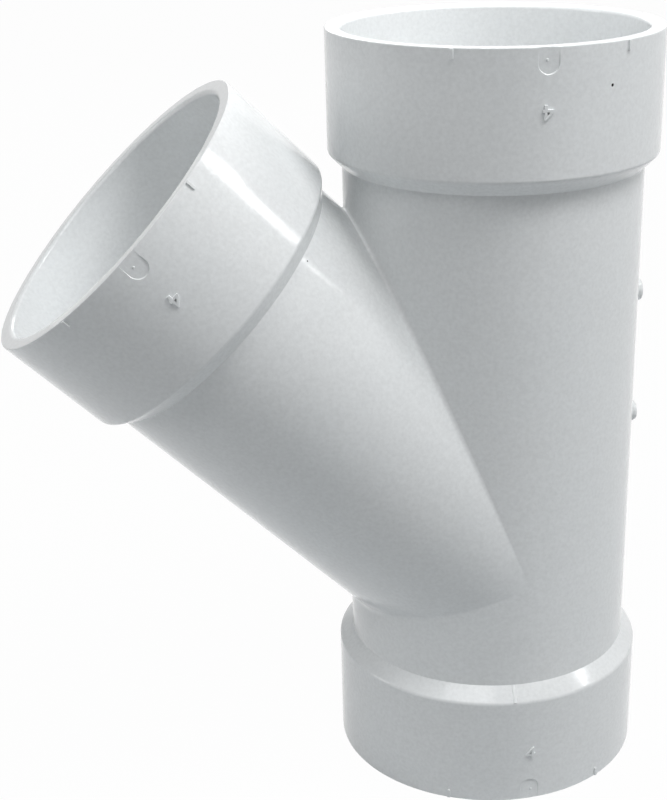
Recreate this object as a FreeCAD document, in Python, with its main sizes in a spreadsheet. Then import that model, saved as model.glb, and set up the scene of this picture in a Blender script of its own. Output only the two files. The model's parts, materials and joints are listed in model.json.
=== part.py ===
import FreeCAD, Part
import os

import Sketcher

# Lateral wye fitting for 4 inch drain pipe, moulded in one piece.
# The run stands along +Z on its lower mouth, whose centre is the origin.
# The branch leaves the run at 45 degrees, towards -X and +Z.
# The front, where the moulded marks are, faces -Y.

doc = FreeCAD.newDocument("LateralWye")

# Driving dimensions, in millimetres and degrees
DIMENSIONS = [
    ("pipe_diameter", 114.3, "outside diameter of the pipe that the sockets take"),
    ("socket_clearance", 0.4, "socket diameter over pipe diameter"),
    ("socket_depth", 44.45, "from a rim to the pipe stop"),
    ("hub_wall", 6.15, "wall round a socket"),
    ("stop_cover", 1.55, "full hub diameter carried on past the pipe stop"),
    ("waterway_diameter", 102.3, "bore between the sockets"),
    ("barrel_wall", 6.85, "wall between the hubs"),
    ("branch_relief", 0.2, "branch radius under run radius, so that one dies into the other"),
    ("shoulder_length", 5.5, "bevel from a hub down to the barrel, along the axis"),
    ("lay_lower", 50.15, "from the lower pipe stop to where the axes cross"),
    ("lay_upper", 163.05, "from there to the upper pipe stop"),
    ("lay_branch", 161.9, "from there to the pipe stop of the branch"),
    ("branch_angle", 45.0, "between the run and the branch"),
    ("mouth_bevel", 1.7, "lead-in for the pipe inside each rim"),
    ("rim_bevel", 0.7, "outer edge of each rim"),
    ("crotch_round_upper", 0.8, "in the acute corner between run and branch"),
    ("crotch_round_lower", 4.5, "in the obtuse corner between run and branch"),
    ("bore_round", 1.2, "edge where the two bores meet"),
    ("tick_angle", 30.0, "of each alignment tick from the front or back line"),
    ("tick_width", 1.2, "round the hub"),
    ("tick_length", 3.6, "along the hub"),
    ("tick_height", 0.45, "above the hub"),
    ("spot_diameter", 7.8, "flat spot of a mould insert at each rim, round on its inner side"),
    ("spot_inset", 5.4, "from a rim to the middle of the spot"),
    ("spot_depth", 0.45, "of the spot below the hub"),
    ("gate_diameter", 9.2, "stub left where the plastic was let in"),
    ("gate_height", 5.4, "of a stub above the barrel"),
    ("gate_bevel_upper", 1.2, "round the end of the upper stub"),
    ("gate_bevel_lower", 2.8, "round the end of the lower stub, which is trimmed to a blunt point"),
    ("gate_rise_upper", 100.0, "upper stub above where the axes cross"),
    ("gate_rise_lower", 46.4, "lower stub above where the axes cross"),
]

sheet = doc.addObject("Spreadsheet::Sheet", "Sizes")
for row, (alias, size, meaning) in enumerate(DIMENSIONS, start=1):
    sheet.set(f"A{row}", meaning)
    sheet.set(f"B{row}", str(size))
    sheet.setAlias(f"B{row}", alias)
doc.recompute()

# Sizes that follow from the driving ones
SOCKET_RADIUS = "((Sizes.pipe_diameter + Sizes.socket_clearance) / 2)"
MOUTH_RADIUS = f"({SOCKET_RADIUS} + Sizes.mouth_bevel)"
HUB_RADIUS = f"({SOCKET_RADIUS} + Sizes.hub_wall)"
RIM_RADIUS = f"({HUB_RADIUS} - Sizes.rim_bevel)"
HUB_LENGTH = "(Sizes.socket_depth + Sizes.stop_cover)"
SHOULDER_END = f"({HUB_LENGTH} + Sizes.shoulder_length)"
WATERWAY_RADIUS = "(Sizes.waterway_diameter / 2)"
BARREL_RADIUS = f"({WATERWAY_RADIUS} + Sizes.barrel_wall)"
BRANCH_WATERWAY_RADIUS = f"({WATERWAY_RADIUS} - Sizes.branch_relief)"
BRANCH_BARREL_RADIUS = f"({BARREL_RADIUS} - Sizes.branch_relief)"
CROSSING = "(Sizes.socket_depth + Sizes.lay_lower)"
RUN_LENGTH = f"({CROSSING} + Sizes.lay_upper + Sizes.socket_depth)"
BRANCH_LENGTH = "(Sizes.lay_branch + Sizes.socket_depth)"
LEAN = "(Sizes.branch_angle * 1 deg)"

# How far an added or cut form reaches past the surface that it meets
REACH = 2.0

# The three hubs, and how far the axis of each leans from the run
HUB_LEANS = (("Lower", "0"), ("Upper", "0"), ("Branch", "Sizes.branch_angle"))


def measure(expression):
    return float(sheet.evalExpression(expression))


def on_hub_axis(hub, inset):
    """Where a hub's axis lies this far inside its rim: across the run and up it."""
    if hub == "Lower":
        return "0", inset
    if hub == "Upper":
        return "0", f"({RUN_LENGTH} - {inset})"
    from_crossing = f"({BRANCH_LENGTH} - {inset})"
    return (f"(-{from_crossing} * sin({LEAN}))",
            f"({CROSSING} + {from_crossing} * cos({LEAN}))")


# Sketches

def new_sketch(body, name, plane_role, base=("0", "0", "0"), axis=(0, 0, 1), angle="0"):
    """A sketch on an origin plane, moved and turned in that plane's own directions."""
    planes = {plane.Role: plane for plane in body.Origin.OriginFeatures}
    sketch = body.newObject("Sketcher::SketchObject", name)
    sketch.AttachmentSupport = [(planes[plane_role], "")]
    sketch.MapMode = "FlatFace"
    sketch.AttachmentOffset = FreeCAD.Placement(
        FreeCAD.Vector(*[measure(place) for place in base]),
        FreeCAD.Rotation(FreeCAD.Vector(*axis), measure(angle)))
    for direction, place in zip("xyz", base):
        if place != "0":
            sketch.setExpression(f"AttachmentOffset.Base.{direction}", place)
    if angle != "0":
        sketch.setExpression("AttachmentOffset.Rotation.Angle", angle)
    return sketch


def run_sketch(body, name):
    """A sketch whose vertical axis is the axis of the run."""
    return new_sketch(body, name, "XZ_Plane")


def branch_sketch(body, name):
    """A sketch whose vertical axis is the axis of the branch, from where the axes cross."""
    return new_sketch(body, name, "XZ_Plane", base=("0", CROSSING, "0"),
                      angle="Sizes.branch_angle")


def pin(sketch, geometry, point, across, along):
    """Hold a point of the sketch at its place across and along it."""
    for kind, place, axis in (("DistanceX", across, -2), ("DistanceY", along, -1)):
        if place == "0":
            sketch.addConstraint(Sketcher.Constraint("PointOnObject", geometry, point, axis))
        else:
            held = sketch.addConstraint(
                Sketcher.Constraint(kind, -1, 1, geometry, point, measure(place)))
            sketch.setExpression(f"Constraints[{held}]", place)


def draw_outline(sketch, corners):
    """A closed outline of straight sides, each corner given by its place across and along."""
    first = sketch.GeometryCount
    count = len(corners)
    points = [FreeCAD.Vector(measure(across), measure(along), 0) for across, along in corners]
    for step in range(count):
        sketch.addGeometry(Part.LineSegment(points[step], points[(step + 1) % count]), False)
    for step, (across, along) in enumerate(corners):
        side = first + step
        side_before = first + (step - 1) % count
        sketch.addConstraint(Sketcher.Constraint("Coincident", side_before, 2, side, 1))
        pin(sketch, side, 1, across, along)


def turn(body, kind, name, sketch):
    """Turn a sketch a full circle about its own vertical axis."""
    feature = body.newObject(kind, name)
    feature.Profile = sketch
    feature.ReferenceAxis = (sketch, ["V_Axis"])
    feature.Angle = 360.0
    doc.recompute()


def is_round(face, radius):
    return isinstance(face.Surface, Part.Cylinder) and abs(face.Surface.Radius - radius) < 1e-4


def crease_edges(shape, first_radius, second_radius):
    """Numbers of the edges along which two cylinders of these radii meet."""
    found = []
    for number, edge in enumerate(shape.Edges, start=1):
        faces = shape.ancestorsOfType(edge, Part.Face)
        if len(faces) != 2:
            continue
        for one, other in (faces, reversed(faces)):
            if is_round(one, measure(first_radius)) and is_round(other, measure(second_radius)):
                found.append(number)
    return found


# Outer form: two hubs and the barrel of the run, with the branch fused to its side

outer = doc.addObject("PartDesign::Body", "OuterForm")

run_outline = run_sketch(outer, "RunOutline")
draw_outline(run_outline, [
    ("0", "0"),
    (f"-{RIM_RADIUS}", "0"),
    (f"-{HUB_RADIUS}", "Sizes.rim_bevel"),
    (f"-{HUB_RADIUS}", HUB_LENGTH),
    (f"-{BARREL_RADIUS}", SHOULDER_END),
    (f"-{BARREL_RADIUS}", f"{RUN_LENGTH} - {SHOULDER_END}"),
    (f"-{HUB_RADIUS}", f"{RUN_LENGTH} - {HUB_LENGTH}"),
    (f"-{HUB_RADIUS}", f"{RUN_LENGTH} - Sizes.rim_bevel"),
    (f"-{RIM_RADIUS}", RUN_LENGTH),
    ("0", RUN_LENGTH),
])
turn(outer, "PartDesign::Revolution", "RunSolid", run_outline)

branch_outline = branch_sketch(outer, "BranchOutline")
draw_outline(branch_outline, [
    ("0", "0"),
    (f"-{BRANCH_BARREL_RADIUS}", "0"),
    (f"-{BRANCH_BARREL_RADIUS}", f"{BRANCH_LENGTH} - {SHOULDER_END}"),
    (f"-{HUB_RADIUS}", f"{BRANCH_LENGTH} - {HUB_LENGTH}"),
    (f"-{HUB_RADIUS}", f"{BRANCH_LENGTH} - Sizes.rim_bevel"),
    (f"-{RIM_RADIUS}", BRANCH_LENGTH),
    ("0", BRANCH_LENGTH),
])
turn(outer, "PartDesign::Revolution", "BranchSolid", branch_outline)

# Crotch: on each side a crease runs from the acute corner down to the obtuse one, and its
# round widens on the way

crotch = doc.addObject("Part::Fillet", "Crotch")
crotch.Base = outer
creases = []
for number in crease_edges(outer.Shape, BARREL_RADIUS, BRANCH_BARREL_RADIUS):
    crease = outer.Shape.Edges[number - 1]
    sizes = [measure("Sizes.crotch_round_lower"), measure("Sizes.crotch_round_upper")]
    if crease.valueAt(crease.FirstParameter).z > crease.valueAt(crease.LastParameter).z:
        sizes.reverse()
    creases.append((number, *sizes))
crotch.Edges = creases
doc.recompute()

# The fitting itself: the outer form with its bores and moulded marks

wye = doc.addObject("PartDesign::Body", "WyeFitting")
wye.Label = "wye_fitting"
wye.BaseFeature = crotch
doc.recompute()

# Bores: a socket behind each rim, with a lead-in, and the waterway between the pipe stops

run_bore = run_sketch(wye, "RunBore")
draw_outline(run_bore, [
    ("0", f"-{REACH}"),
    (MOUTH_RADIUS, f"-{REACH}"),
    (MOUTH_RADIUS, "0"),
    (SOCKET_RADIUS, "Sizes.mouth_bevel"),
    (SOCKET_RADIUS, "Sizes.socket_depth"),
    (WATERWAY_RADIUS, "Sizes.socket_depth"),
    (WATERWAY_RADIUS, f"{RUN_LENGTH} - Sizes.socket_depth"),
    (SOCKET_RADIUS, f"{RUN_LENGTH} - Sizes.socket_depth"),
    (SOCKET_RADIUS, f"{RUN_LENGTH} - Sizes.mouth_bevel"),
    (MOUTH_RADIUS, RUN_LENGTH),
    (MOUTH_RADIUS, f"{RUN_LENGTH} + {REACH}"),
    ("0", f"{RUN_LENGTH} + {REACH}"),
])
turn(wye, "PartDesign::Groove", "RunWaterway", run_bore)

branch_bore = branch_sketch(wye, "BranchBore")
draw_outline(branch_bore, [
    ("0", "0"),
    (BRANCH_WATERWAY_RADIUS, "0"),
    (BRANCH_WATERWAY_RADIUS, "Sizes.lay_branch"),
    (SOCKET_RADIUS, "Sizes.lay_branch"),
    (SOCKET_RADIUS, f"{BRANCH_LENGTH} - Sizes.mouth_bevel"),
    (MOUTH_RADIUS, BRANCH_LENGTH),
    (MOUTH_RADIUS, f"{BRANCH_LENGTH} + {REACH}"),
    ("0", f"{BRANCH_LENGTH} + {REACH}"),
])
turn(wye, "PartDesign::Groove", "BranchWaterway", branch_bore)

bored = wye.Tip
bore_round = wye.newObject("PartDesign::Fillet", "BoreRound")
bore_round.Base = (bored, [f"Edge{number}" for number in crease_edges(
    bored.Shape, WATERWAY_RADIUS, BRANCH_WATERWAY_RADIUS)])
bore_round.setExpression("Radius", "Sizes.bore_round")
doc.recompute()

# Gate stubs, one above the other on the side of the run away from the branch

for gate, rise, bevel in (
    ("UpperGate", "Sizes.gate_rise_upper", "Sizes.gate_bevel_upper"),
    ("LowerGate", "Sizes.gate_rise_lower", "Sizes.gate_bevel_lower"),
):
    stub = new_sketch(wye, f"{gate}Outline", "XZ_Plane",
                      base=("0", f"{CROSSING} + {rise}", "0"), angle="-90")
    root = f"({BARREL_RADIUS} - {REACH})"
    end = f"({BARREL_RADIUS} + Sizes.gate_height)"
    draw_outline(stub, [
        ("0", root),
        ("Sizes.gate_diameter / 2", root),
        ("Sizes.gate_diameter / 2", f"{end} - {bevel}"),
        (f"Sizes.gate_diameter / 2 - {bevel}", end),
        ("0", end),
    ])
    turn(wye, "PartDesign::Revolution", gate, stub)

# Alignment ticks: two on the front and two on the back of each hub, from the rim inwards


def draw_tick(sketch, angle):
    """The section of a tick, at this angle round the hub from its front line."""
    root = f"({HUB_RADIUS} - {REACH} / 2)"
    crest = f"({HUB_RADIUS} + Sizes.tick_height)"
    draw_outline(sketch, [(
        f"({distance} * sin({angle}) {side} Sizes.tick_width / 2 * cos({angle}))",
        f"(-{distance} * cos({angle}) {side} Sizes.tick_width / 2 * sin({angle}))",
    ) for distance, side in ((root, "-"), (root, "+"), (crest, "+"), (crest, "-"))])


for hub, lean in HUB_LEANS:
    across, up = on_hub_axis(hub, "Sizes.rim_bevel")
    ticks = new_sketch(wye, f"{hub}TickOutline", "XY_Plane", base=(across, "0", up),
                       axis=(0, -1, 0), angle=lean)
    for angle in ("-Sizes.tick_angle", "Sizes.tick_angle",
                  "180 - Sizes.tick_angle", "180 + Sizes.tick_angle"):
        draw_tick(ticks, f"({angle}) * 1 deg")
    pad = wye.newObject("PartDesign::Pad", f"{hub}Ticks")
    pad.Profile = ticks
    pad.setExpression("Length", "Sizes.tick_length")
    pad.Reversed = hub != "Lower"
    doc.recompute()

# Flat spots on the front line of each hub, where mould inserts sit: each is round on its
# inner side and runs out straight through the rim


def draw_spot(sketch, hub):
    """The round part of a hub's spot."""
    across, up = on_hub_axis(hub, "Sizes.spot_inset")
    middle = FreeCAD.Vector(measure(across), measure(up), 0)
    spot = sketch.addGeometry(Part.Circle(
        middle, FreeCAD.Vector(0, 0, 1), measure("Sizes.spot_diameter / 2")), False)
    pin(sketch, spot, 3, across, up)
    held = sketch.addConstraint(
        Sketcher.Constraint("Diameter", spot, measure("Sizes.spot_diameter")))
    sketch.setExpression(f"Constraints[{held}]", "Sizes.spot_diameter")


def draw_runout(sketch, hub, lean):
    """The straight part of a hub's spot, from its middle to past the rim."""
    corners = []
    for inset, side in (("Sizes.spot_inset", "-"), ("Sizes.spot_inset", "+"),
                        (f"-{REACH}", "+"), (f"-{REACH}", "-")):
        across, up = on_hub_axis(hub, inset)
        corners.append((f"{across} {side} Sizes.spot_diameter / 2 * cos({lean} * 1 deg)",
                        f"{up} {side} Sizes.spot_diameter / 2 * sin({lean} * 1 deg)"))
    draw_outline(sketch, corners)


above_spots = ("0", "0", f"{HUB_RADIUS} + {REACH}")
spots = new_sketch(wye, "SpotOutline", "XZ_Plane", base=above_spots)
runouts = new_sketch(wye, "RunoutOutline", "XZ_Plane", base=above_spots)
for hub, lean in HUB_LEANS:
    draw_spot(spots, hub)
    draw_runout(runouts, hub, lean)
for name, outline in (("Spots", spots), ("SpotRunouts", runouts)):
    faces_before = len(wye.Shape.Faces)
    pocket = wye.newObject("PartDesign::Pocket", name)
    pocket.Profile = outline
    pocket.setExpression("Length", f"{REACH} + Sizes.spot_depth")
    doc.recompute()
    if len(wye.Shape.Faces) <= faces_before:
        raise RuntimeError(f"{name} cut nothing")

# Nothing is written unless every feature was built and the fitting is one sound solid

for thing in doc.Objects:
    if "Invalid" in thing.State or "Error" in thing.State:
        raise RuntimeError(f"{thing.Name} failed: {thing.State}")
if wye.Shape.isNull() or not wye.Shape.isValid() or len(wye.Shape.Solids) != 1:
    raise RuntimeError("the fitting isn't one sound solid")

os.makedirs("parts", exist_ok=True)
wye.Shape.exportStep(f"parts/{wye.Label}.step")
print(f"{wye.Label}: {wye.Shape.Volume / 1000:.1f} cubic centimetres")
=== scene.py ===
import json
import math

import bpy
from mathutils import Matrix, Vector


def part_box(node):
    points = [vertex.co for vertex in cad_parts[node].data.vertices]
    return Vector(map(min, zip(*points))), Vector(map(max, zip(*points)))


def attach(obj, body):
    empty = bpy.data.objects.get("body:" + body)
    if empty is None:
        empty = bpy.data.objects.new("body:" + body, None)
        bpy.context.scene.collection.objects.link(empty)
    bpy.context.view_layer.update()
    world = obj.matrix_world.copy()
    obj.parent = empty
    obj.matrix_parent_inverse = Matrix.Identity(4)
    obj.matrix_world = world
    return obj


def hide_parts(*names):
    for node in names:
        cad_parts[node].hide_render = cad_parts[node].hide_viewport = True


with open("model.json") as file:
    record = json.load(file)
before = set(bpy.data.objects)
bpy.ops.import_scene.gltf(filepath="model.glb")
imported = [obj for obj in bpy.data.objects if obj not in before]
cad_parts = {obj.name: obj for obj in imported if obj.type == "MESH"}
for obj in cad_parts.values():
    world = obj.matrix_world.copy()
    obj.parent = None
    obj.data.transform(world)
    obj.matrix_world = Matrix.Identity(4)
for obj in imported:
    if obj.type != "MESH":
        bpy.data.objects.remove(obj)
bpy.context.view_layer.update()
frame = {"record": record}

# The camera
# It stands in front of the run, a little to its left and above it, and looks down at the
# fitting, so that both upper mouths show. Its angles are in degrees.
camera_place = (-0.1722, -0.5602, 0.3782)
camera_turn = -12.68
camera_dip = 22.85
camera_roll = -0.91
bpy.ops.object.select_all(action="DESELECT")
bpy.ops.object.camera_add(location=(0, 0, 0))
camera = bpy.context.object
camera.name = "studio_camera"
camera.matrix_world = (
    Matrix.Translation(camera_place)
    @ Matrix.Rotation(math.radians(camera_turn), 4, "Z")
    @ Matrix.Rotation(math.radians(90 - camera_dip), 4, "X")
    @ Matrix.Rotation(math.radians(camera_roll), 4, "Z")
)
camera.data.lens = 68.73
camera.data.sensor_width = 36
camera.data.shift_x = -0.0581
camera.data.shift_y = 0.0576
bpy.context.scene.camera = camera

# The hubs
# Every mouth of the fitting is one and the same hub, moulded as part of the body in rigid
# white PVC: rounded rim and lead-in, socket, pipe stop, and a shoulder down to the barrel.
MM = 0.001
NEAR = 0.01 * MM
SIDES = 256
mounts = {mount["name"]: mount for mount in frame["record"]["mounts"]}
socket = mounts["upper_socket"]
node_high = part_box("wye_fitting")[1]
run_length = node_high.z
hub_radius = node_high.y
socket_radius = socket["dims"]["r_mm"] * MM
mouth_bevel = run_length - socket["pos_m"][2]
socket_depth = socket["dims"]["length_mm"] * MM + mouth_bevel
stop_wall = 1.55 * MM
hub_length = socket_depth + stop_wall
shoulder_length = 5.5 * MM
shoulder_end = hub_length + shoulder_length
shoulder_round = 0.8 * MM
rim_round = 0.45 * MM
stop_round = 0.5 * MM
waterway_radius = 51.15 * MM
barrel_radius = 58.0 * MM


def deselect(piece):
    """Leave nothing of the piece selected, so that parts of it can be picked by their place."""
    for part in (piece.data.vertices, piece.data.edges, piece.data.polygons):
        part.foreach_set("select", [False] * len(part))


def round_edges(piece, is_picked, rounding, steps):
    """Round those edges of the active piece that a test picks by the places of both ends."""
    deselect(piece)
    for edge in piece.data.edges:
        edge.select = is_picked([piece.data.vertices[end].co for end in edge.vertices])
    bpy.ops.object.mode_set(mode="EDIT")
    bpy.ops.mesh.select_mode(type="EDGE")
    bpy.ops.mesh.bevel(offset=rounding, segments=steps, profile=0.5)
    bpy.ops.object.mode_set(mode="OBJECT")


def is_on_ring(radius, height):
    """A test that picks the ring of edges at this radius from the axis and at this height."""
    return lambda ends: all(
        abs(end.z - height) < NEAR and abs(end.xy.length - radius) < NEAR for end in ends)


bpy.ops.object.select_all(action="DESELECT")
bpy.ops.mesh.primitive_circle_add(
    vertices=SIDES, radius=barrel_radius, location=(0, 0, 0), fill_type="NOTHING")
hub = bpy.context.object
hub.name = "hub"
bpy.ops.object.mode_set(mode="EDIT")
bpy.ops.mesh.select_all(action="SELECT")
bpy.ops.transform.translate(value=(0, 0, -shoulder_end))
radius, height = barrel_radius, -shoulder_end
for next_radius, next_height in (
    (hub_radius, -hub_length),
    (hub_radius, 0),
    (socket_radius, 0),
    (socket_radius, -socket_depth),
    (waterway_radius, -socket_depth),
):
    bpy.ops.mesh.extrude_edges_move(
        TRANSFORM_OT_translate={"value": (0, 0, next_height - height)})
    growth = next_radius / radius
    bpy.ops.transform.resize(value=(growth, growth, 1), center_override=(0, 0, 0))
    radius, height = next_radius, next_height
bpy.ops.object.mode_set(mode="OBJECT")

for radius, height, rounding, steps in (
    (hub_radius, -hub_length, shoulder_round, 4),
    (hub_radius, 0, rim_round, 4),
    (socket_radius, 0, mouth_bevel, 8),
    (socket_radius, -socket_depth, stop_round, 3),
):
    round_edges(hub, is_on_ring(radius, height), rounding, steps)

# The marks on a hub
# A mould insert leaves a flat spot that runs out at the rim, with an ejector's nub in it. Four
# raised ticks help to line the fitting up, and a raised figure gives the pipe size in inches.
front = -hub_radius
spot_radius = 3.7 * MM
spot_flare = 0.7
spot_inset = 5.4 * MM
spot_depth = 0.45 * MM
spot_floor = front + spot_depth
spot_fade = 0.38 * MM
cutter_reach = 3 * MM
bpy.ops.object.select_all(action="DESELECT")
bpy.ops.mesh.primitive_cone_add(
    vertices=64, radius1=spot_radius, radius2=spot_radius + spot_flare * cutter_reach,
    depth=cutter_reach, location=(0, spot_floor - cutter_reach / 2, -spot_inset),
    rotation=(math.pi / 2, 0, 0))
cutter = bpy.context.object
bpy.ops.object.transform_apply()
deselect(cutter)
for vertex in cutter.data.vertices:
    vertex.select = vertex.co.z > -spot_inset + NEAR
bpy.ops.object.mode_set(mode="EDIT")
bpy.ops.mesh.select_mode(type="VERT")
bpy.ops.transform.translate(value=(0, -spot_fade, spot_inset))
bpy.ops.object.mode_set(mode="OBJECT")
cut = hub.modifiers.new("spot", "BOOLEAN")
cut.object = cutter
cut.operation = "DIFFERENCE"
cut.solver = "EXACT"
bpy.context.view_layer.objects.active = hub
bpy.ops.object.modifier_apply(modifier=cut.name)
bpy.data.objects.remove(cutter)

nub_radius = 0.5 * MM
nub_height = 0.4 * MM
nub_round = 0.2 * MM
nub_aside = -0.7 * MM
nub_inset = 4.3 * MM
bpy.ops.object.select_all(action="DESELECT")
bpy.ops.mesh.primitive_cylinder_add(
    vertices=32, radius=nub_radius, depth=2 * nub_height,
    location=(nub_aside, spot_floor, -nub_inset), rotation=(math.pi / 2, 0, 0))
nub = bpy.context.object
bpy.ops.object.transform_apply()
round_edges(nub, lambda ends: max(end.y for end in ends) < spot_floor, nub_round, steps=4)

tick_width = 1.2 * MM
tick_length = 3.6 * MM
tick_height = 0.7 * MM
tick_root = 0.5 * MM
tick_start = 0.35 * MM
tick_corner_round = 0.45 * tick_width
tick_edge_round = 0.12 * MM
tick_turns = (-30, 30, 150, 210)


def is_far_corner(ends):
    """Picks the two upright edges at the end of a tick that lies away from the rim."""
    return max(end.z for end in ends) < -tick_length and abs(ends[0].y - ends[1].y) > tick_root


def add_copy(piece, placing):
    """A copy of the piece, with a mesh of its own, moved to another place."""
    copied = piece.copy()
    copied.data = piece.data.copy()
    copied.data.transform(placing)
    bpy.context.scene.collection.objects.link(copied)
    return copied


bpy.ops.object.select_all(action="DESELECT")
bpy.ops.mesh.primitive_cube_add(
    size=1, location=(0, front + (tick_root - tick_height) / 2, -tick_start - tick_length / 2),
    scale=(tick_width, tick_root + tick_height, tick_length))
tick = bpy.context.object
bpy.ops.object.transform_apply()
round_edges(tick, is_far_corner, tick_corner_round, steps=5)
round_edges(tick, lambda ends: max(end.y for end in ends) < front, tick_edge_round, steps=2)
ticks = [add_copy(tick, Matrix.Rotation(math.radians(turn), 4, "Z")) for turn in tick_turns]
bpy.data.objects.remove(tick)

figure_inset = 22 * MM
figure_width = 4.1 * MM
figure_height = 5.3 * MM
figure_rise = 0.65 * MM
bpy.ops.object.select_all(action="DESELECT")
bpy.ops.object.text_add(location=(0, 0, 0))
figure = bpy.context.object
figure.data.body = "4"
figure.data.size = 1
figure.data.offset = 0.012
figure.data.extrude = 0.1
figure.data.bevel_depth = 0.02
figure.data.bevel_resolution = 2
bpy.ops.object.convert(target="MESH")
low = [min(vertex.co[axis] for vertex in figure.data.vertices) for axis in range(3)]
high = [max(vertex.co[axis] for vertex in figure.data.vertices) for axis in range(3)]
middle = Vector([(a + b) / 2 for a, b in zip(low, high)])
figure.data.transform(
    Matrix.Translation((0, front, -figure_inset))
    @ Matrix.Rotation(math.pi, 4, "Y")
    @ Matrix.Rotation(math.pi / 2, 4, "X")
    @ Matrix.Diagonal((figure_width / (high[0] - low[0]), figure_height / (high[1] - low[1]),
                       2 * figure_rise / (high[2] - low[2]), 1))
    @ Matrix.Translation(-middle))


def join_to(piece, others):
    """Make the others a part of the piece."""
    bpy.ops.object.select_all(action="DESELECT")
    for part in [piece] + others:
        part.select_set(True)
    bpy.context.view_layer.objects.active = piece
    bpy.ops.object.join()


join_to(hub, [nub, figure] + ticks)

# The barrels
# Two pipes of one size cross at 45 degrees, so they meet on two flat ellipses, one on each
# side of the branch. The same holds for their bores.
branch_lean = math.radians(45)
up_run = Vector((0, 0, 1))
up_branch = Vector((-math.sin(branch_lean), 0, math.cos(branch_lean)))
crossing = Vector((0, 0, 94.6 * MM))
branch_length = 206.35 * MM
acute_round = 0.8 * MM
obtuse_round = 4.5 * MM
bore_round = 1.2 * MM


def plane_at(angle):
    """Normal of the plane through the crossing that leans this far from the run."""
    return Vector((math.cos(angle), 0, math.sin(angle)))


upper_seam = plane_at(branch_lean / 2)
lower_seam = plane_at((branch_lean + math.pi) / 2)


def is_branch_side(place):
    """Whether a place lies between the two planes on which run and branch meet."""
    from_crossing = place - crossing
    return from_crossing.dot(upper_seam) < 0 and from_crossing.dot(lower_seam) > 0


def is_on_seam(place):
    """Whether a place lies on one of the two half planes on which the pipes meet."""
    from_crossing = place - crossing
    off = min(abs(from_crossing.dot(upper_seam)), abs(from_crossing.dot(lower_seam)))
    return place.x < NEAR / 2 and off < NEAR / 2


def merge_doubles():
    """Merge the points of the active piece that share a place."""
    bpy.ops.object.mode_set(mode="EDIT")
    bpy.ops.mesh.select_all(action="SELECT")
    bpy.ops.mesh.remove_doubles(threshold=NEAR)
    bpy.ops.object.mode_set(mode="OBJECT")


def cross_pipes(name, radius, end):
    """The skin of run and branch at this radius, each reaching to this far from its rims."""
    bpy.ops.object.select_all(action="DESELECT")
    bpy.ops.mesh.primitive_cylinder_add(
        vertices=SIDES, radius=radius, depth=run_length - 2 * end,
        end_fill_type="NOTHING", location=(0, 0, run_length / 2))
    run = bpy.context.object
    run.name = name
    bpy.ops.object.transform_apply()
    for seam in (upper_seam, lower_seam):
        deselect(run)
        for face in run.data.polygons:
            face.select = face.center.x < 0
        bpy.ops.object.mode_set(mode="EDIT")
        bpy.ops.mesh.bisect(plane_co=crossing, plane_no=seam)
        bpy.ops.object.mode_set(mode="OBJECT")
    deselect(run)
    for face in run.data.polygons:
        face.select = face.center.x < 0 and is_branch_side(face.center)
    bpy.ops.object.mode_set(mode="EDIT")
    bpy.ops.mesh.select_mode(type="FACE")
    bpy.ops.mesh.delete(type="FACE")
    bpy.ops.object.mode_set(mode="OBJECT")

    bpy.ops.object.select_all(action="DESELECT")
    start = -radius
    depth = branch_length - end - start
    bpy.ops.mesh.primitive_cylinder_add(
        vertices=SIDES, radius=radius, depth=depth, end_fill_type="NOTHING",
        location=crossing + up_branch * (start + depth / 2),
        rotation=(0, -branch_lean, 0))
    branch = bpy.context.object
    bpy.ops.object.transform_apply()
    bpy.ops.object.mode_set(mode="EDIT")
    for seam, clears in ((upper_seam, {"clear_outer": True}), (lower_seam, {"clear_inner": True})):
        bpy.ops.mesh.select_all(action="SELECT")
        bpy.ops.mesh.bisect(plane_co=crossing, plane_no=seam, **clears)
    bpy.ops.object.mode_set(mode="OBJECT")

    join_to(run, [branch])
    merge_doubles()
    return run


def round_seam(piece, upper_round, lower_round):
    """Round the seams between the pipes, by a radius that changes from one corner to the other."""
    mesh = piece.data
    faces_at = {edge.key: [] for edge in mesh.edges}
    for face in mesh.polygons:
        for key in face.edge_keys:
            faces_at[key].append(face.normal)
    heights = [vertex.co.z for vertex in mesh.vertices if is_on_seam(vertex.co)]
    lowest, highest = min(heights), max(heights)
    widths = {}
    for edge in mesh.edges:
        ends = [mesh.vertices[end].co for end in edge.vertices]
        if all(is_on_seam(end) for end in ends) and len(faces_at[edge.key]) == 2:
            rise = ((ends[0] + ends[1]).z / 2 - lowest) / (highest - lowest)
            rounding = lower_round + (upper_round - lower_round) * rise
            bend = faces_at[edge.key][0].angle(faces_at[edge.key][1])
            widths[edge.index] = rounding * math.tan(bend / 2)
    widest = max(widths.values())
    weights = mesh.attributes.new("bevel_weight_edge", "FLOAT", "EDGE")
    for index, width in widths.items():
        weights.data[index].value = width / widest
    bevel = piece.modifiers.new("seam", "BEVEL")
    bevel.limit_method = "WEIGHT"
    bevel.width = widest
    bevel.segments = 6
    bpy.ops.object.select_all(action="DESELECT")
    piece.select_set(True)
    bpy.context.view_layer.objects.active = piece
    bpy.ops.object.modifier_apply(modifier=bevel.name)


outside = cross_pipes("moulded_body", barrel_radius, shoulder_end)
round_seam(outside, acute_round, obtuse_round)
inside = cross_pipes("waterway", waterway_radius, socket_depth)
round_seam(inside, bore_round, bore_round)
bpy.ops.object.mode_set(mode="EDIT")
bpy.ops.mesh.select_all(action="SELECT")
bpy.ops.mesh.flip_normals()
bpy.ops.object.mode_set(mode="OBJECT")

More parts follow.
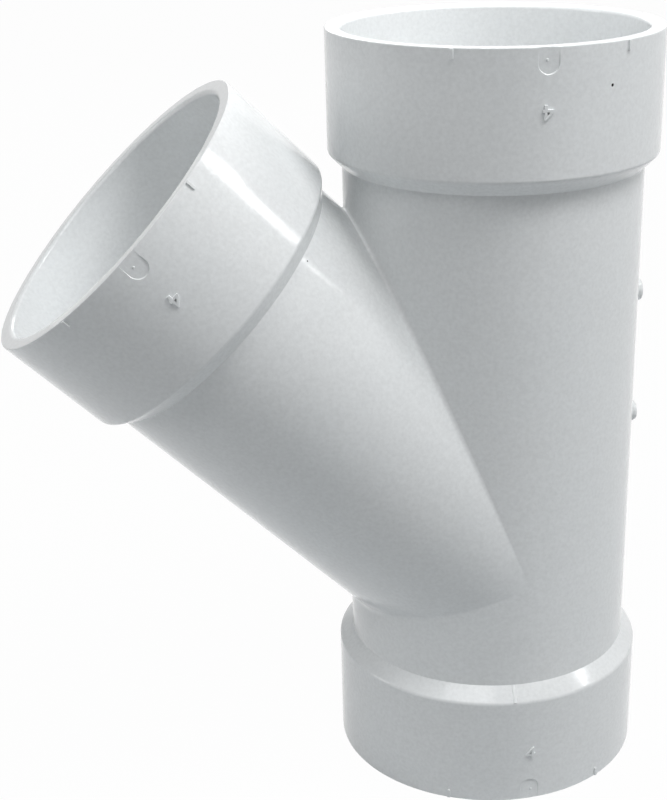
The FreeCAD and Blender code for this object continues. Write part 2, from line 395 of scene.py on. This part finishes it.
# The gate stubs
# The plastic is let in at two places on the side of the run away from the branch, where stubs
# are left. The upper one is cut square and the lower one to a blunt point.
gate_radius = 4.6 * MM
gate_root = 2 * MM
gates = []
for rise, gate_height, rounding, steps in (
    (99.4 * MM, 5.4 * MM, 1.0 * MM, 8),
    (46.4 * MM, 6.2 * MM, 2.4 * MM, 2),
):
    bpy.ops.object.select_all(action="DESELECT")
    bpy.ops.mesh.primitive_cylinder_add(
        vertices=64, radius=gate_radius, depth=gate_height + gate_root,
        location=crossing + Vector((barrel_radius + (gate_height - gate_root) / 2, 0, rise)),
        rotation=(0, math.pi / 2, 0))
    gate = bpy.context.object
    bpy.ops.object.transform_apply()
    outer_end = barrel_radius + gate_height - NEAR
    round_edges(gate, lambda ends: min(end.x for end in ends) > outer_end, rounding, steps)
    gates.append(gate)

# The witness line
# Where parts of the mould meet on the lower shoulder, they leave a fine raised line that runs
# straight up its slope.
line_radius = 0.9 * MM
line_rise = 0.35 * MM
line_length = 7.4 * MM
line_turn = math.radians(-6)
shoulder_slope = math.radians(45)
bpy.ops.object.select_all(action="DESELECT")
bpy.ops.mesh.primitive_cylinder_add(
    vertices=32, radius=line_radius, depth=line_length,
    location=(0, -(hub_radius + barrel_radius) / 2, (hub_length + shoulder_end) / 2),
    rotation=(-shoulder_slope, 0, 0))
line = bpy.context.object
bpy.ops.object.transform_apply()
sunk = (line_radius - line_rise) * math.sin(shoulder_slope)
line.data.transform(Matrix.Rotation(line_turn, 4, "Z") @ Matrix.Translation((0, sunk, -sunk)))

# The body
# Barrels, bores, hubs, stubs and line are one moulding in rigid white PVC, so they become one
# piece here. Its gloss comes from a polished mould, and the skin of the plastic is uneven.
placings = (
    Matrix.Translation(up_run * run_length),
    Matrix.Rotation(math.pi, 4, "Y"),
    Matrix.Translation(crossing + up_branch * branch_length)
    @ Matrix.Rotation(-branch_lean, 4, "Y"),
)
hubs = [add_copy(hub, placing) for placing in placings]
bpy.data.objects.remove(hub)
join_to(outside, hubs + [inside, line] + gates)
body = bpy.context.object
merge_doubles()
bpy.ops.object.shade_smooth_by_angle(angle=math.radians(40))
weighted = body.modifiers.new("even_shading", "WEIGHTED_NORMAL")
weighted.keep_sharp = True
bpy.ops.object.modifier_apply(modifier=weighted.name)

darker_white = (0.85, 0.875, 0.884, 1)
lighter_white = (0.87, 0.888, 0.893, 1)
speck_colour = (0.01, 0.01, 0.01, 1)
speck_core = 0.6
specks = (
    (Vector((24.9, -58.4, 287.3)) * MM, 0.7 * MM),
    (Vector((-81.3, -44.2, 229.1)) * MM, 0.35 * MM),
)
shrinkage_depth = 0.08 * MM
skin_depth = 0.016 * MM
plastic = bpy.data.materials.new("white_plastic")
plastic.use_nodes = True
nodes = plastic.node_tree.nodes
links = plastic.node_tree.links
shader = nodes["Principled BSDF"]
shader.inputs["IOR"].default_value = 1.53
shader.inputs["Specular IOR Level"].default_value = 0.28
place_on_body = nodes.new("ShaderNodeTexCoord").outputs["Object"]


def add_span(source, source_span, result_span, curve="LINEAR"):
    """A value that goes over one span while its source goes over another."""
    span = nodes.new("ShaderNodeMapRange")
    span.interpolation_type = curve
    span.inputs["From Min"].default_value, span.inputs["From Max"].default_value = source_span
    span.inputs["To Min"].default_value, span.inputs["To Max"].default_value = result_span
    links.new(source, span.inputs["Value"])
    return span.outputs["Result"]


def add_noise(scale, detail, low=0, high=1):
    """Uneven values over the body, from low to high, in spots of one over the scale in metres."""
    usual_span = (0.3, 0.7)
    noise = nodes.new("ShaderNodeTexNoise")
    noise.inputs["Scale"].default_value = scale
    noise.inputs["Detail"].default_value = detail
    links.new(place_on_body, noise.inputs["Vector"])
    return add_span(noise.outputs["Fac"], usual_span, (low, high))


def add_bump(height, depth):
    """Unevenness of the surface, as deep as this where the height goes from 0 to 1."""
    bump = nodes.new("ShaderNodeBump")
    bump.inputs["Strength"].default_value = 1
    bump.inputs["Distance"].default_value = depth
    links.new(height, bump.inputs["Height"])
    return bump


flow_tone = nodes.new("ShaderNodeMix")
flow_tone.data_type = "RGBA"
flow_tone.inputs["A"].default_value = darker_white
flow_tone.inputs["B"].default_value = lighter_white
links.new(add_noise(scale=14, detail=2), flow_tone.inputs["Factor"])
mottle = nodes.new("ShaderNodeVectorMath")
mottle.operation = "SCALE"
links.new(flow_tone.outputs["Result"], mottle.inputs[0])
links.new(add_noise(scale=700, detail=2, low=0.963, high=1.037), mottle.inputs["Scale"])

tone = mottle.outputs["Vector"]
for speck_place, speck_radius in specks:
    away = nodes.new("ShaderNodeVectorMath")
    away.operation = "DISTANCE"
    away.inputs[1].default_value = speck_place
    links.new(place_on_body, away.inputs[0])
    cover = add_span(
        away.outputs["Value"], (speck_core * speck_radius, speck_radius), (1, 0), "SMOOTHSTEP")
    speck = nodes.new("ShaderNodeMix")
    speck.data_type = "RGBA"
    speck.inputs["B"].default_value = speck_colour
    links.new(cover, speck.inputs["Factor"])
    links.new(tone, speck.inputs["A"])
    tone = speck.outputs["Result"]
links.new(tone, shader.inputs["Base Color"])
links.new(add_noise(scale=45, detail=3, low=0.09, high=0.14), shader.inputs["Roughness"])

shrinkage = add_bump(add_noise(scale=26, detail=1), shrinkage_depth)
skin = add_bump(add_noise(scale=600, detail=2), skin_depth)
links.new(shrinkage.outputs["Normal"], skin.inputs["Normal"])
links.new(skin.outputs["Normal"], shader.inputs["Normal"])
body.data.materials.append(plastic)
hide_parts("wye_fitting")
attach(body, "root")

# The studio
# A plain pale floor runs out of sight, and soft panels stand above, in front, at both sides
# and behind. A small lamp over each upper mouth keeps its bore from going dark.
floor_size = 60
floor_colour = (0.6, 0.622, 0.636, 1)
floor_white_share = 0.98
backdrop_strength = 0.03
fitting_middle = (-0.06, 0, 0.15)
branch_lamp_reach = 0.21
bpy.ops.object.select_all(action="DESELECT")
bpy.ops.mesh.primitive_plane_add(size=floor_size, location=(0, 0, 0))
floor = bpy.context.object
floor.name = "floor"
pale = bpy.data.materials.new("pale_floor")
pale.use_nodes = True
nodes = pale.node_tree.nodes
links = pale.node_tree.links
matte = nodes["Principled BSDF"]
matte.inputs["Base Color"].default_value = floor_colour
matte.inputs["Roughness"].default_value = 0.9
matte.inputs["Specular IOR Level"].default_value = 0.0
glow = nodes.new("ShaderNodeEmission")
glow.inputs["Strength"].default_value = 1.0
blend = nodes.new("ShaderNodeMixShader")
share = nodes.new("ShaderNodeMath")
share.operation = "MULTIPLY"
share.inputs[1].default_value = floor_white_share


def add_white_view(tree):
    """1 where the camera, a reflection or a clear part looks, and 0 where light falls."""
    path = tree.nodes.new("ShaderNodeLightPath")
    looks = path.outputs["Is Camera Ray"]
    for kind in ("Is Glossy Ray", "Is Transmission Ray"):
        either = tree.nodes.new("ShaderNodeMath")
        either.operation = "MAXIMUM"
        tree.links.new(looks, either.inputs[0])
        tree.links.new(path.outputs[kind], either.inputs[1])
        looks = either.outputs[0]
    return looks


links.new(add_white_view(pale.node_tree), share.inputs[0])
links.new(share.outputs[0], blend.inputs["Fac"])
links.new(matte.outputs[0], blend.inputs[1])
links.new(glow.outputs[0], blend.inputs[2])
links.new(blend.outputs[0], nodes["Material Output"].inputs["Surface"])
floor.data.materials.append(pale)


def add_panel(name, place, size, watts, aim=fitting_middle):
    """A soft light panel, so wide and high in metres, that faces its aim."""
    bpy.ops.object.light_add(type="AREA", location=place)
    panel = bpy.context.object
    panel.name = name
    panel.rotation_mode = "QUATERNION"
    panel.rotation_quaternion = (Vector(aim) - Vector(place)).to_track_quat("-Z", "Y")
    panel.data.shape = "RECTANGLE"
    panel.data.size, panel.data.size_y = size
    panel.data.energy = watts
    panel.visible_camera = False


add_panel("overhead_right_panel", (0.52, -0.48, 1.45), (0.5, 0.5), 11.2)
add_panel("overhead_left_panel", (-0.44, -0.65, 1.45), (0.8, 0.5), 4.6)
add_panel("front_panel", (-0.09, -1.12, 1.18), (0.5, 0.4), 1.3)
add_panel("right_lamp", (0.91, -0.27, 0.85), (0.24, 0.2), 1.9)
add_panel("right_low_lamp", (0.9, -0.3, 0.708), (0.14, 0.032), 0.26)
add_panel("left_panel", (-1.48, 0.23, 0.46), (0.45, 0.7), 4.3)
add_panel("back_panel", (0.15, 1.5, 0.9), (0.7, 0.6), 5.0)
add_panel("run_mouth_lamp", (0, 0, 0.38), (0.1, 0.1), 0.056, aim=(0, 0, 0.2))
branch_lamp_place = crossing + up_branch * branch_lamp_reach
add_panel("branch_mouth_lamp", branch_lamp_place, (0.08, 0.08), 0.005, aim=crossing)

world = bpy.data.worlds.new("studio")
bpy.context.scene.world = world
world.use_nodes = True
sky = world.node_tree
backdrop = sky.nodes["Background"]
backdrop.inputs["Color"].default_value = (1, 1, 1, 1)
backdrop.inputs["Strength"].default_value = backdrop_strength
bright = sky.nodes.new("ShaderNodeBackground")
bright.inputs["Color"].default_value = (1, 1, 1, 1)
bright.inputs["Strength"].default_value = 1.0
choose = sky.nodes.new("ShaderNodeMixShader")
sky.links.new(add_white_view(sky), choose.inputs["Fac"])
sky.links.new(backdrop.outputs[0], choose.inputs[1])
sky.links.new(bright.outputs[0], choose.inputs[2])
sky.links.new(choose.outputs[0], sky.nodes["World Output"].inputs["Surface"])
bpy.context.scene.view_settings.view_transform = "Standard"
